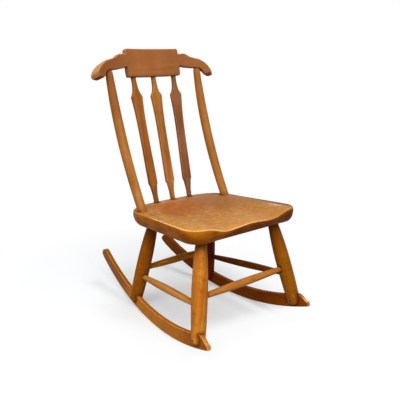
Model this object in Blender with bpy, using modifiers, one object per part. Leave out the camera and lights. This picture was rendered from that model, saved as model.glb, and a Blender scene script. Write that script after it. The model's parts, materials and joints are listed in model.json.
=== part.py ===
# Arrow-back rocking chair in maple, in metres, +Z up, front towards -Y, floor at z = 0.
# The origin is on the floor, below the middle of the chair's overall length and width.
# Left is -X and right is +X.
import math

import bmesh
import bpy
from mathutils import Matrix, Vector

# Fits
FIT = 0.0003               # gap round every tenon, peg and slot
END_ROOM = 0.0006          # room past the end of a tenon in its blind socket

# Seat plank
SEAT_WIDTH = 0.462         # across the front corners
SEAT_REAR_WIDTH = 0.430    # across the sides where the rounded back begins
SEAT_DEPTH = 0.424
SEAT_THICK = 0.047
SEAT_HEIGHT = 0.391        # floor to the flat rim, at the middle of the seat
SEAT_AHEAD = 0.0491        # middle of the seat ahead of the rockers' flats
SEAT_TILT = math.radians(4.95)
SEAT_CORNER = 0.058        # radius of the front corners in plan
SEAT_BACK_START = 0.056    # behind the middle, where the rounded back begins
SEAT_BACK_SQUARENESS = 3.3
SEAT_UNDERCUT = 0.012      # underside set in from the widest line
SEAT_EASE = 0.005          # rounding of the top arris
SADDLE_DEPTH = 0.018
POMMEL_SHARE = 0.30        # part of the saddle depth left standing at the front centre
SADDLE_SIDES = (0.42, 0.80)  # shares of the half width between which the hollows rise to the rim
SADDLE_DECK = (0.58, 0.88)   # shares of the depth between which the hollow rises to the rear deck

# Crest rail
CREST_WIDTH = 0.528
CREST_UNDER = 0.4157       # seat's rim, at its middle, to the underside of the tablet
CREST_BEHIND = 0.2743      # middle of the tablet's underside behind the rockers' flats
CREST_LEAN = math.radians(12.45)
CREST_BOW = 0.037          # how far the ears come forward of the tablet
CREST_THICK = 0.024
CREST_EASE = 0.004
TABLET_WIDTH = 0.224
TABLET_HEIGHT = 0.098
TABLET_CORNER = 0.005
SHOULDER_HEIGHT = 0.079    # top of the arm beside the tablet, above the tablet's underside
EAR_BEVEL = 0.024          # front of the ear's end set in from its back
EAR_RISE = 0.010           # front of the ear above its back
# Back outline of the arm from the tablet (0) to the ear's end (1), as shares of the shoulder height
ARM_TOP = (
    (0.0, 1.0), (0.20, 1.0), (0.33, 0.86), (0.41, 0.81), (0.50, 0.76), (0.60, 0.71),
    (0.70, 0.615), (0.81, 0.505), (0.88, 0.405), (0.947, 0.265), (0.987, 0.11), (1.0, 0.05))
ARM_LOW = (
    (0.0, 0.45), (0.16, 0.385), (0.36, 0.33), (0.50, 0.305), (0.60, 0.25), (0.70, 0.12),
    (0.776, -0.03), (0.83, -0.095), (0.895, -0.09), (1.0, -0.012))

# Back posts
POST_FOOT_IN = 0.029       # in from the seat's side, on the seat
POST_FOOT_BACK = 0.1165    # behind the middle of the seat
POST_HEAD_OUT = 0.192      # from the centre line, under the crest rail
POST_BOW = 0.019           # backward bow at mid-height
POST_FOOT_RADIUS = 0.0153
POST_BELLY_RADIUS = 0.0168
POST_TOP_RADIUS = 0.0122   # under the crest rail, before the post tapers into its socket
POST_HEAD_RADIUS = 0.0104  # in the socket
POST_TAPER = 0.016         # taper and straight below the crest rail
POST_STRAIGHT = 0.007
POST_TENON = 0.024

# Arrow spindles
ARROW_FOOT_OUT = 0.075     # outer spindles from the centre line, on the seat
ARROW_FOOT_BACK = 0.1955   # behind the middle of the seat
ARROW_FOOT_CURVE = 0.003   # outer feet ahead of the middle one
ARROW_HEAD_OUT = 0.0885    # outer spindles from the centre line, under the crest rail
ARROW_TENON = 0.020
ARROW_THICK = 0.0130
ARROW_BLADE = 0.0330       # width of the shaft
ARROW_BARB = 0.0460        # width across the arrow head
ARROW_NECK_RADIUS = 0.0090
ARROW_FOOT_RADIUS = 0.0092
ARROW_BULB_RADIUS = 0.0140  # half width at the top of the round foot
ARROW_NOTCH_AT = 0.141     # shares of the length above the seat
ARROW_BARB_AT = 0.850

# Legs
FRONT_LEG_IN = 0.075       # centre of the leg in from the seat's side, at the underside
FRONT_LEG_BACK = -0.1515
REAR_LEG_IN = 0.089
REAR_LEG_BACK = 0.1405
FRONT_FOOT_AT = -0.280     # along the rockers, ahead of their flats
REAR_FOOT_AT = 0.1320
FOOT_LIFT = 0.007          # foot above the rocker's sole
LEG_NECK_RADIUS = 0.0168
LEG_BELLY_RADIUS = 0.0252
LEG_FOOT_RADIUS = 0.0217
LEG_BELLY_AT = 0.46        # share of the leg's height
LEG_TENON = 0.022
LEG_STRAIGHT = 0.010       # straight neck below the seat
PEG_RADIUS = 0.004
PEG_SHY = 0.0005           # peg ends below the leg's surface

# Stretchers
FRONT_STRETCHER_HEIGHT = 0.1905
REAR_STRETCHER_HEIGHT = 0.150
SIDE_STRETCHER_FRONT_HEIGHT = 0.1675
SIDE_STRETCHER_REAR_HEIGHT = 0.122
STRETCHER_END_RADIUS = 0.0088
STRETCHER_BELLY_RADIUS = 0.0127
STRETCHER_STOP = 0.006     # end of the tenon short of the leg's axis

# Rockers
ROCKER_RADIUS = 0.852      # of the sole
ROCKER_SPREAD = 0.1895     # middle of each board from the centre line, at its flat
ROCKER_TOE_OUT = math.radians(6.2)
ROCKER_THICK = 0.014
ROCKER_DEPTH = 0.046
ROCKER_TAIL_DEPTH = 0.034
ROCKER_EASE = 0.0025
ROCKER_FLAT = 0.030        # length of one flat of the sole
TOE_REACH = 0.339          # from the flat's middle to the tip of the toe
TOE_SLOPE = 0.045          # length of the sloping toe
TOE_TIP = 0.011
TOE_FULLNESS = 1.2         # more holds the toe's hump longer
TAIL_REACH = 0.4190

# Faceting
TURNING_STEPS = 18
SEAT_STEPS = 64            # points round the seat


# Scene
for old in list(bpy.data.objects):
    bpy.data.objects.remove(old, do_unlink=True)

chair = bpy.data.collections.new("rocking_chair")
cutters = bpy.data.collections.new("cutters")
bpy.context.scene.collection.children.link(chair)
bpy.context.scene.collection.children.link(cutters)
root = bpy.data.objects.new("chair_root", None)
chair.objects.link(root)


# Finishes
def maple(name, red, green, blue, roughness):
    """Stained maple under a satin finish, from the colour seen on the piece."""
    finish = bpy.data.materials.new(name)
    finish.use_nodes = True
    shader = finish.node_tree.nodes["Principled BSDF"]
    linear = [(value / 255) ** 2.2 for value in (red, green, blue)]
    shader.inputs["Base Color"].default_value = (*linear, 1)
    shader.inputs["Roughness"].default_value = roughness
    shader.inputs["Metallic"].default_value = 0
    finish.diffuse_color = (*linear, 1)
    return finish


# Small helpers
def smooth(share):
    """Ease from 0 to 1 as the share runs from 0 to 1."""
    share = min(max(share, 0), 1)
    return share * share * (3 - 2 * share)


def along(points, place):
    """Height of a smooth line through the points, given in order of place."""
    last = len(points) - 1
    i = 0
    while i < last - 1 and place > points[i + 1][0]:
        i += 1
    (x0, y0), (x1, y1) = points[i], points[i + 1]

    def slope(k):
        a = points[max(k - 1, 0)]
        b = points[min(k + 1, last)]
        return (b[1] - a[1]) / (b[0] - a[0])

    span = x1 - x0
    t = min(max((place - x0) / span, 0), 1)
    rise = (2 * t ** 3 - 3 * t ** 2 + 1) * y0 + (3 * t ** 2 - 2 * t ** 3) * y1
    return rise + span * ((t ** 3 - 2 * t ** 2 + t) * slope(i) + (t ** 3 - t ** 2) * slope(i + 1))


def frame_along(start, end, across=None):
    """Placement at start with its Z axis towards end and its X axis near across."""
    z = (end - start).normalized()
    if across is None:
        across = Vector((0, 1, 0)) if abs(z.x) > 0.8 else Vector((1, 0, 0))
    x = (across - across.dot(z) * z).normalized()
    y = z.cross(x)
    turn = Matrix((x, y, z)).transposed().to_4x4()
    return Matrix.Translation(start) @ turn


def put(name, mesh, finish, place=Matrix()):
    """Add one piece of the chair."""
    piece = bpy.data.objects.new(name, mesh)
    chair.objects.link(piece)
    piece.parent = root
    piece.matrix_world = place
    mesh.materials.clear()
    mesh.materials.append(finish)
    return piece


def cut(piece, name, mesh, place=Matrix()):
    """Take a shape out of a piece."""
    tool = bpy.data.objects.new(name, mesh)
    cutters.objects.link(tool)
    tool.matrix_world = place
    tool.hide_render = True
    tool.display_type = "WIRE"
    cutting = piece.modifiers.new(name, "BOOLEAN")
    cutting.object = tool
    cutting.operation = "DIFFERENCE"
    cutting.solver = "EXACT"


def bore(piece, name, start, end, radius):
    """Drill a round hole in a piece from start to end."""
    work = bmesh.new()
    length = (end - start).length
    bmesh.ops.create_cone(
        work, cap_ends=True, segments=TURNING_STEPS, radius1=radius, radius2=radius, depth=length,
        matrix=Matrix.Translation((0, 0, length / 2)))
    mesh = bpy.data.meshes.new(name)
    work.to_mesh(mesh)
    work.free()
    cut(piece, name, mesh, frame_along(start, end))


def loft(name, rings, crease):
    """Closed skin over a row of rings of points, shaded smooth up to the crease angle."""
    work = bmesh.new()
    rows = [[work.verts.new(point) for point in ring] for ring in rings]
    count = len(rows[0])
    for low, high in zip(rows, rows[1:]):
        for i in range(count):
            j = (i + 1) % count
            work.faces.new((low[i], low[j], high[j], high[i]))
    work.faces.new(rows[0])
    work.faces.new(rows[-1])
    bmesh.ops.recalc_face_normals(work, faces=work.faces)
    mesh = bpy.data.meshes.new(name)
    work.to_mesh(mesh)
    work.free()
    mesh.shade_smooth()
    mesh.set_sharp_from_angle(angle=crease)
    return mesh


def turned(name, outline, finish, start, end):
    """Lathe an outline of (radius, height) from top to bottom, on the line from start to end."""
    mesh = bpy.data.meshes.new(name)
    top = outline[0][1]
    bottom = outline[-1][1]
    points = [(0, 0, top)] + [(radius, 0, height) for radius, height in outline] + [(0, 0, bottom)]
    mesh.from_pydata(points, [(i, i + 1) for i in range(len(points) - 1)], [])
    piece = put(name, mesh, finish, frame_along(start, end))
    lathe = piece.modifiers.new("lathe", "SCREW")
    lathe.axis = "Z"
    lathe.steps = TURNING_STEPS
    lathe.render_steps = TURNING_STEPS
    lathe.use_merge_vertices = True
    lathe.merge_threshold = 0.00002
    lathe.use_smooth_shade = True
    return piece


def curve_mesh(name, curve):
    """Mesh of a curve, closed where its parts meet."""
    holder = bpy.data.objects.new(name, curve)
    cutters.objects.link(holder)
    view = bpy.context.evaluated_depsgraph_get()
    mesh = bpy.data.meshes.new_from_object(holder.evaluated_get(view))
    bpy.data.objects.remove(holder, do_unlink=True)
    work = bmesh.new()
    work.from_mesh(mesh)
    bmesh.ops.remove_doubles(work, verts=work.verts, dist=0.00001)
    bmesh.ops.recalc_face_normals(work, faces=work.faces)
    work.to_mesh(mesh)
    work.free()
    mesh.name = name
    mesh.shade_smooth()
    mesh.set_sharp_from_angle(angle=math.radians(40))
    return mesh


def flat_board(name, outline, thick, ease):
    """Sawn board: a closed outline in its own XY plane, thick across Z, with eased arrises."""
    curve = bpy.data.curves.new(name, "CURVE")
    curve.dimensions = "2D"
    curve.fill_mode = "BOTH"
    curve.extrude = thick / 2 - ease
    curve.bevel_depth = ease
    curve.bevel_resolution = 0
    curve.offset = -ease
    line = curve.splines.new("POLY")
    line.points.add(len(outline) - 1)
    for point, (x, y) in zip(line.points, outline):
        point.co = (x, y, 0, 1)
    line.use_cyclic_u = True
    return curve_mesh(name, curve)


# Rockers: each board's own frame runs back along the board in X and up in Y
FLAT_TURN = ROCKER_FLAT / ROCKER_RADIUS
SOLE_CENTRE = ROCKER_RADIUS * math.cos(FLAT_TURN / 2)


def rocker_depth(reach):
    """Depth of the board square to its sole, at a distance along the board from the flat."""
    if reach > REAR_FOOT_AT:
        share = (reach - REAR_FOOT_AT) / (TAIL_REACH - REAR_FOOT_AT)
        return ROCKER_DEPTH + (ROCKER_TAIL_DEPTH - ROCKER_DEPTH) * share
    toe = (-reach - (TOE_REACH - TOE_SLOPE)) / TOE_SLOPE
    if toe > 0:
        hump = 0.5 + 0.5 * math.cos(math.pi * min(toe, 1) ** TOE_FULLNESS)
        return TOE_TIP + (ROCKER_DEPTH - TOE_TIP) * hump
    return ROCKER_DEPTH


def on_rocker(reach, depth):
    """Point of the board at a distance along it from the flat and a depth above its sole."""
    turn = math.asin(reach / ROCKER_RADIUS)
    radius = ROCKER_RADIUS - depth
    return radius * math.sin(turn), SOLE_CENTRE - radius * math.cos(turn)


def sole_steps(start, stop):
    """Distances along the board at the ends of the sole's flats, between start and stop."""
    first = math.ceil(math.asin(start / ROCKER_RADIUS) / FLAT_TURN - 0.5)
    last = math.floor(math.asin(stop / ROCKER_RADIUS) / FLAT_TURN - 0.5)
    return [ROCKER_RADIUS * math.sin((k + 0.5) * FLAT_TURN) for k in range(first, last + 1)]


def top_steps():
    """Distances along the board of the points of its top edge, from the tail to the toe."""
    half = ROCKER_TAIL_DEPTH / 2
    toe = TOE_SLOPE - TOE_REACH
    steps = sole_steps(toe + half, TAIL_REACH - 2 * half)
    return steps[::-1] + [toe - TOE_SLOPE * i / 7 for i in range(8)]


def rocker_outline():
    """Sole in flats from toe to tail, rounded tail, then the top edge back to the toe."""
    half = ROCKER_TAIL_DEPTH / 2
    tail = TAIL_REACH - half
    points = [on_rocker(-TOE_REACH, 0)]
    for reach in sole_steps(-TOE_REACH + half, tail - half):
        points.append(on_rocker(reach, 0))
    centre_x, centre_y = on_rocker(tail, half)
    heading = math.asin(tail / ROCKER_RADIUS)
    for step in range(9):
        angle = heading + math.radians(-90 + 22.5 * step)
        points.append((centre_x + half * math.cos(angle), centre_y + half * math.sin(angle)))
    for reach in top_steps():
        points.append(on_rocker(reach, rocker_depth(reach)))
    return points


# The rockers' flats lie ahead of the middle of the chair's overall length
BOARD_ENDS = [x for x, y in rocker_outline()]
FLAT_AHEAD = (max(BOARD_ENDS) + min(BOARD_ENDS)) / 2 * math.cos(ROCKER_TOE_OUT)


def rocker_place(side):
    """Placement of a board: flat at the origin of its frame, toes further apart than tails."""
    run = Vector((-side * math.sin(ROCKER_TOE_OUT), math.cos(ROCKER_TOE_OUT), 0))
    up = Vector((0, 0, 1))
    turn = Matrix((run, up, run.cross(up))).transposed().to_4x4()
    return Matrix.Translation((side * ROCKER_SPREAD, -FLAT_AHEAD, 0)) @ turn


# Seat: its own frame has the flat rim at z = 0 and the middle of the plank at the origin
SEAT_MIDDLE = Vector((0, -FLAT_AHEAD - SEAT_AHEAD, SEAT_HEIGHT))
SEAT_PLACE = Matrix.Translation(SEAT_MIDDLE) @ Matrix.Rotation(-SEAT_TILT, 4, "X")


def seat_outline():
    """Widest line of the seat in plan, in even steps from the middle of the front edge."""
    front = -SEAT_DEPTH / 2
    half = [Vector((0, front))]
    for i in range(13):
        turn = math.radians(90 * i / 12)
        x = SEAT_WIDTH / 2 - SEAT_CORNER * (1 - math.sin(turn))
        half.append(Vector((x, front + SEAT_CORNER * (1 - math.cos(turn)))))
    for i in range(37):
        turn = math.radians(90 * i / 36)
        power = 2 / SEAT_BACK_SQUARENESS
        x = SEAT_REAR_WIDTH / 2 * max(math.cos(turn), 0) ** power
        y = SEAT_BACK_START + (SEAT_DEPTH / 2 - SEAT_BACK_START) * math.sin(turn) ** power
        half.append(Vector((x, y)))
    lengths = [0]
    for a, b in zip(half, half[1:]):
        lengths.append(lengths[-1] + (b - a).length)
    steps = SEAT_STEPS // 2
    even = []
    for k in range(steps + 1):
        reach = lengths[-1] * k / steps
        i = 0
        while i < len(half) - 2 and lengths[i + 1] < reach:
            i += 1
        share = (reach - lengths[i]) / (lengths[i + 1] - lengths[i])
        even.append(half[i].lerp(half[i + 1], share))
    even[0].x = 0
    even[-1].x = 0
    return even + [Vector((-p.x, p.y)) for p in reversed(even[1:-1])]


def saddle(x, y):
    """Depth of the saddle below the flat rim: two thigh hollows, a pommel and a rear deck."""
    out = abs(x) / (SEAT_WIDTH / 2)
    back = (y + SEAT_DEPTH / 2) / SEAT_DEPTH
    hollow, rim = SADDLE_SIDES
    side = 1 - smooth((out - hollow) / (rim - hollow))
    pommel = 1 - POMMEL_SHARE * (1 - smooth(out / hollow)) * (1 - smooth(back / 0.45))
    front, rear = SADDLE_DECK
    deck = 1 - smooth((back - front) / (rear - front))
    return SADDLE_DEPTH * side * pommel * deck


def seat_rings():
    """Rings from the underside round the edge to the middle of the top."""
    outline = seat_outline()
    count = len(outline)
    inward = []
    for i, point in enumerate(outline):
        run = outline[(i + 1) % count] - outline[i - 1]
        inward.append(Vector((-run.y, run.x)).normalized())
    # inset from the widest line, depth below the rim, share of the saddle taken
    edge = (
        (SEAT_UNDERCUT + 0.004, SEAT_THICK, 0),
        (SEAT_UNDERCUT, SEAT_THICK - 0.002, 0),
        (SEAT_UNDERCUT * 0.35, SEAT_THICK * 0.72, 0.25),
        (0, SEAT_THICK * 0.36, 0.70),
        (SEAT_EASE * 0.15, SEAT_EASE, 1),
        (SEAT_EASE * 0.50, SEAT_EASE * 0.35, 1),
        (SEAT_EASE * 1.3, 0, 1))
    rings = []
    for inset, depth, share in edge:
        ring = []
        for point, way in zip(outline, inward):
            x, y = point + inset * way
            ring.append(Vector((x, y, -depth - share * saddle(x, y))))
        rings.append(ring)
    rim = rings[-1]
    for scale in (0.90, 0.80, 0.70, 0.58, 0.46, 0.32, 0.16):
        ring = []
        for point in rim:
            x = point.x * scale
            y = point.y * scale
            ring.append(Vector((x, y, -saddle(x, y))))
        rings.append(ring)
    return rings


seat_plank = loft("seat", seat_rings(), math.radians(50))
seat = put("seat", seat_plank, maple("seat_maple", 190, 135, 75, 0.38), SEAT_PLACE)


# Crest rail: its own frame has the tablet's underside at z = 0 and leans back with the rail
CREST_MIDDLE = Vector((0, CREST_BEHIND - FLAT_AHEAD, SEAT_HEIGHT + CREST_UNDER))
CREST_PLACE = Matrix.Translation(CREST_MIDDLE) @ Matrix.Rotation(-CREST_LEAN, 4, "X")


def crest_middle(x):
    """Middle of the rail's thickness, bowed forward towards the ears."""
    return -CREST_BOW * (x / (CREST_WIDTH / 2)) ** 2


def arm_share(x):
    return (abs(x) - TABLET_WIDTH / 2) / (CREST_WIDTH / 2 - TABLET_WIDTH / 2)


def ear_share(x):
    """0 along the arm, growing to 1 at the ear's end."""
    return smooth((arm_share(x) - 0.55) / 0.40)


def arm_low(x):
    return SHOULDER_HEIGHT * along(ARM_LOW, arm_share(x))


def arm_top(x):
    return SHOULDER_HEIGHT * along(ARM_TOP, arm_share(x))


def crest_section(x, low, top):
    """Ring round the rail at x on its back, with eased corners and the ear's front set in and up."""
    ease = min(CREST_EASE, (top - low) * 0.4)
    front_x = x - math.copysign(EAR_BEVEL, x) * ear_share(x)
    back_y = crest_middle(x) + CREST_THICK / 2
    front_y = crest_middle(front_x) - CREST_THICK / 2
    rise = EAR_RISE * ear_share(x)
    corners = (
        (back_y - ease, top - ease, 0),
        (front_y + ease, top + rise - ease, 90),
        (front_y + ease, low + rise + ease, 180),
        (back_y - ease, low + ease, 270))
    ring = []
    for corner_y, corner_z, start in corners:
        for turn in (0, 45, 90):
            angle = math.radians(start + turn)
            y = corner_y + ease * math.cos(angle)
            z = corner_z + ease * math.sin(angle)
            forward = (back_y - y) / (back_y - front_y)
            ring.append(Vector((x + (front_x - x) * forward, y, z)))
    return ring


def crest_sections():
    """Sections from the left ear to the right ear."""
    half = []
    edge = TABLET_WIDTH / 2
    for share in (0.0, 0.22, 0.44, 0.66, 0.86):
        half.append((edge * share, 0, TABLET_HEIGHT))
    for turn in (0, 30, 60, 90):
        angle = math.radians(turn)
        x = edge - TABLET_CORNER * (1 - math.sin(angle))
        drop = TABLET_CORNER * (1 - math.cos(angle))
        half.append((x, drop, TABLET_HEIGHT - drop))
    reach = CREST_WIDTH / 2 - edge
    for share in (0.006, 0.08, 0.16, 0.215, 0.26, 0.30, 0.35, 0.42, 0.50, 0.57, 0.63, 0.69, 0.74, 0.79,
                  0.84, 0.88, 0.915, 0.945, 0.968, 0.987, 1.0):
        x = edge + reach * share
        half.append((x, arm_low(x), arm_top(x)))
    right = [crest_section(x, low, top) for x, low, top in half]
    left = [crest_section(-x, low, top) for x, low, top in reversed(half[1:])]
    return left + right


crest_board = loft("crest_rail", crest_sections(), math.radians(35))
crest = put("crest_rail", crest_board, maple("crest_maple", 160, 96, 56, 0.42), CREST_PLACE)


# Back posts: bowed and tapered round rods from the seat into the crest rail
def add_post(name, side):
    foot_out = SEAT_REAR_WIDTH / 2 - POST_FOOT_IN
    foot = SEAT_PLACE @ Vector((side * foot_out, POST_FOOT_BACK, 0))
    head_x = side * POST_HEAD_OUT
    head = CREST_PLACE @ Vector((head_x, crest_middle(head_x), arm_low(head_x)))
    chord = head - foot
    back = Vector((0, 1, 0))
    back = (back - back.dot(chord) / chord.length_squared * chord).normalized()
    foot_way = (chord + 4 * POST_BOW * back).normalized()
    head_way = (chord - 4 * POST_BOW * back).normalized()
    steps = 22
    rows = []
    for i in range(steps + 1):
        t = (1 - POST_TAPER / chord.length) * i / steps
        end_radius = POST_FOOT_RADIUS + (POST_TOP_RADIUS - POST_FOOT_RADIUS) * t
        radius = end_radius + (POST_BELLY_RADIUS - end_radius) * math.sin(math.pi * t) ** 0.8
        rows.append((t, radius))
    rows.append((1 - POST_STRAIGHT / chord.length, POST_HEAD_RADIUS))
    rows.append((1, POST_HEAD_RADIUS))
    path = [(foot - POST_TENON * foot_way, POST_FOOT_RADIUS)]
    for t, radius in rows:
        path.append((foot + t * chord + 4 * POST_BOW * t * (1 - t) * back, radius))
    path.append((head + POST_TENON * head_way, POST_HEAD_RADIUS))
    curve = bpy.data.curves.new(name, "CURVE")
    curve.dimensions = "3D"
    curve.bevel_depth = POST_BELLY_RADIUS
    curve.bevel_resolution = 3
    curve.use_fill_caps = True
    line = curve.splines.new("POLY")
    line.points.add(len(path) - 1)
    for point, (place, radius) in zip(line.points, path):
        point.co = (*place, 1)
        point.radius = radius / POST_BELLY_RADIUS
    put(name, curve_mesh(name, curve), maple(name + "_maple", 178, 108, 45, 0.36))
    deep = POST_TENON + END_ROOM
    out = 0.03
    foot_hole = POST_FOOT_RADIUS + FIT
    head_hole = POST_HEAD_RADIUS + FIT
    bore(seat, name + "_foot_socket", foot - deep * foot_way, foot + out * foot_way, foot_hole)
    bore(crest, name + "_head_socket", head + deep * head_way, head - out * head_way, head_hole)


for name, side in (("post_left", -1), ("post_right", 1)):
    add_post(name, side)


# Arrow spindles: round foot, shouldered flat shaft, flared barbs and a round neck
def arrow_rings(length):
    """Rings up one spindle; squareness 2 is round and more is flatter."""
    neck = ARROW_NECK_RADIUS
    foot = ARROW_FOOT_RADIUS
    bulb = ARROW_BULB_RADIUS
    half_thick = ARROW_THICK / 2
    blade = ARROW_BLADE / 2
    barb = ARROW_BARB / 2
    notch_at = ARROW_NOTCH_AT
    barb_at = ARROW_BARB_AT
    flare = barb_at - notch_at
    # place along the length, half width, half thickness, squareness
    rows = [
        (-ARROW_TENON / length, foot, foot, 2),
        (0.015, foot, foot, 2),
        (notch_at * 0.42, foot * 1.03, foot, 2),
        (notch_at * 0.62, foot + (bulb - foot) * 0.42, foot, 2),
        (notch_at * 0.84, bulb * 0.97, foot, 2.2),
        (notch_at * 0.95, bulb * 1.02, foot * 0.98, 2.4),
        (notch_at * 1.05, blade * 0.95, half_thick * 1.20, 4),
        (notch_at * 1.16, blade * 1.02, half_thick * 1.12, 5),
        (notch_at + flare * 0.22, blade * 1.02, half_thick * 1.06, 5),
        (notch_at + flare * 0.44, blade * 0.985, half_thick, 5),
        (notch_at + flare * 0.62, blade * 0.985, half_thick, 5)]
    for share in (0.74, 0.83, 0.90, 0.955, 0.985):
        lift = ((share - 0.62) / 0.38) ** 2.2
        rows.append((notch_at + flare * share, blade + (barb - blade) * lift, half_thick, 5))
    rows.append((barb_at, barb, half_thick, 5))
    top = 1 - barb_at
    shoulder = (
        (0.04, 0.86, 5), (0.12, 0.62, 4.5), (0.22, 0.33, 4),
        (0.34, 0.15, 3.4), (0.48, 0.06, 2.6), (0.66, 0.015, 2.2))
    for share, width, square in shoulder:
        half_deep = half_thick + (neck - half_thick) * smooth(share)
        rows.append((barb_at + top * share, neck + (barb - neck) * width, half_deep, square))
    rows.append((0.98, neck, neck, 2))
    rows.append((1 + ARROW_TENON / length, neck, neck, 2))
    rings = []
    for place, half_width, half_deep, square in rows:
        ring = []
        for i in range(20):
            angle = math.radians(18 * i + 9)
            across = math.copysign(abs(math.cos(angle)) ** (2 / square), math.cos(angle))
            deep = math.copysign(abs(math.sin(angle)) ** (2 / square), math.sin(angle))
            ring.append(Vector((half_width * across, half_deep * deep, place * length)))
        rings.append(ring)
    return rings


def add_arrow(name, side):
    foot_back = ARROW_FOOT_BACK - abs(side) * ARROW_FOOT_CURVE
    foot = SEAT_PLACE @ Vector((side * ARROW_FOOT_OUT, foot_back, 0))
    head_x = side * ARROW_HEAD_OUT
    head = CREST_PLACE @ Vector((head_x, crest_middle(head_x), 0))
    way = (head - foot).normalized()
    slope = (crest_middle(head_x + 0.001) - crest_middle(head_x - 0.001)) / 0.002
    length = (head - foot).length
    place = frame_along(foot, head, Vector((1, slope, 0)))
    spindle = loft(name, arrow_rings(length), math.radians(45))
    put(name, spindle, maple(name + "_maple", 172, 100, 40, 0.36), place)
    deep = ARROW_TENON + END_ROOM
    out = 0.012
    bore(seat, name + "_foot_socket", foot - deep * way, foot + out * way, ARROW_FOOT_RADIUS + FIT)
    bore(crest, name + "_head_socket", head + deep * way, head - out * way, ARROW_NECK_RADIUS + FIT)


for name, side in (("arrow_left", -1), ("arrow_middle", 0), ("arrow_right", 1)):
    add_arrow(name, side)


# Rocker boards
rockers = {}
for name, side in (("rocker_left", -1), ("rocker_right", 1)):
    board = flat_board(name, rocker_outline(), ROCKER_THICK, ROCKER_EASE)
    rockers[side] = put(name, board, maple(name + "_maple", 168, 96, 32, 0.36), rocker_place(side))


# Legs: turned, tenoned into the seat and slotted over the rockers
def leg_radius(share):
    """Radius of a leg at a share of its height between the foot and the seat."""
    if share < LEG_BELLY_AT:
        swell = math.sin(math.pi / 2 * share / LEG_BELLY_AT)
        return LEG_FOOT_RADIUS + (LEG_BELLY_RADIUS - LEG_FOOT_RADIUS) * swell
    rise = (share - LEG_BELLY_AT) / (1 - LEG_BELLY_AT)
    return LEG_NECK_RADIUS + (LEG_BELLY_RADIUS - LEG_NECK_RADIUS) * (1 - rise ** 2.2)


legs = {}


def add_leg(name, end, side, out, back, foot_at):
    head = SEAT_PLACE @ Vector((side * out, back, -SEAT_THICK))
    sole_x, sole_z = on_rocker(foot_at, 0)
    foot = rocker_place(side) @ Vector((sole_x, sole_z + FOOT_LIFT, 0))
    length = (head - foot).length
    way = (head - foot) / length
    outline = [(LEG_NECK_RADIUS, length + LEG_TENON)]
    steps = 11
    for i in range(steps):
        share = 1 - i / steps
        outline.append((leg_radius(share), (length - LEG_STRAIGHT) * share))
    outline.append((LEG_FOOT_RADIUS * 1.01, 0.006))
    outline.append((LEG_FOOT_RADIUS * 0.93, 0.0015))
    outline.append((LEG_FOOT_RADIUS * 0.82, 0))
    leg = turned(name, outline, maple(name + "_maple", 188, 112, 40, 0.34), foot, head)
    legs[end, side] = (leg, foot, head)
    deep = LEG_TENON + END_ROOM
    bore(seat, name + "_socket", head + deep * way, head - 0.02 * way, LEG_NECK_RADIUS + FIT)
    # slot over the rocker's top edge, open at the foot
    slot = []
    for reach in top_steps():
        if abs(reach - foot_at) < 4 * LEG_BELLY_RADIUS:
            slot.append(on_rocker(reach, rocker_depth(reach) + FIT))
    slot.append((slot[-1][0], sole_z - 2 * LEG_BELLY_RADIUS))
    slot.append((slot[0][0], sole_z - 2 * LEG_BELLY_RADIUS))
    slot_board = flat_board(name + "_slot", slot, ROCKER_THICK + 2 * FIT, 0)
    cut(leg, name + "_slot", slot_board, rocker_place(side))
    # peg across the slot
    height = sole_z + ROCKER_DEPTH * 0.52
    share = (height - foot.z) / (head.z - foot.z)
    centre = foot.lerp(head, share)
    across = rocker_place(side).to_3x3() @ Vector((0, 0, 1))
    half = leg_radius(share) - PEG_SHY
    left = centre - half * across
    right = centre + half * across
    blunt = 0.0008
    tip_radius = PEG_RADIUS - blunt
    peg_outline = [
        (tip_radius, 2 * half), (PEG_RADIUS, 2 * half - blunt), (PEG_RADIUS, blunt), (tip_radius, 0)]
    peg_name = name.replace("leg", "peg")
    turned(peg_name, peg_outline, maple(peg_name + "_maple", 130, 70, 22, 0.45), left, right)
    past = 2 * LEG_BELLY_RADIUS * across
    for piece in (leg, rockers[side]):
        bore(piece, peg_name + "_hole_" + piece.name, centre - past, centre + past, PEG_RADIUS + FIT)


front_leg_out = SEAT_WIDTH / 2 - FRONT_LEG_IN
rear_leg_out = SEAT_REAR_WIDTH / 2 - REAR_LEG_IN
for word, side in (("left", -1), ("right", 1)):
    add_leg("leg_front_" + word, "front", side, front_leg_out, FRONT_LEG_BACK, FRONT_FOOT_AT)
    add_leg("leg_rear_" + word, "rear", side, rear_leg_out, REAR_LEG_BACK, REAR_FOOT_AT)


# Stretchers: cigar-shaped, socketed into the legs
def on_leg(key, height):
    leg, foot, head = legs[key]
    return foot.lerp(head, (height - foot.z) / (head.z - foot.z))


def add_stretcher(name, from_key, from_height, to_key, to_height):
    start = on_leg(from_key, from_height)
    end = on_leg(to_key, to_height)
    way = (end - start).normalized()
    tip = start + STRETCHER_STOP * way
    far = end - STRETCHER_STOP * way
    length = (far - tip).length
    clear = LEG_BELLY_RADIUS - STRETCHER_STOP + 0.003
    outline = [(STRETCHER_END_RADIUS, length)]
    steps = 10
    for i in range(steps + 1):
        share = i / steps
        swell = (STRETCHER_BELLY_RADIUS - STRETCHER_END_RADIUS) * math.sin(math.pi * share) ** 0.9
        outline.append((STRETCHER_END_RADIUS + swell, length - clear - share * (length - 2 * clear)))
    outline.append((STRETCHER_END_RADIUS, 0))
    turned(name, outline, maple(name + "_maple", 180, 108, 40, 0.36), tip, far)
    for key, axis_point, inward in ((from_key, start, way), (to_key, end, -way)):
        leg = legs[key][0]
        depth = STRETCHER_STOP - END_ROOM
        bore(leg, name + "_socket_" + leg.name, axis_point + depth * inward, axis_point + 0.05 * inward,
             STRETCHER_END_RADIUS + FIT)


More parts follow.
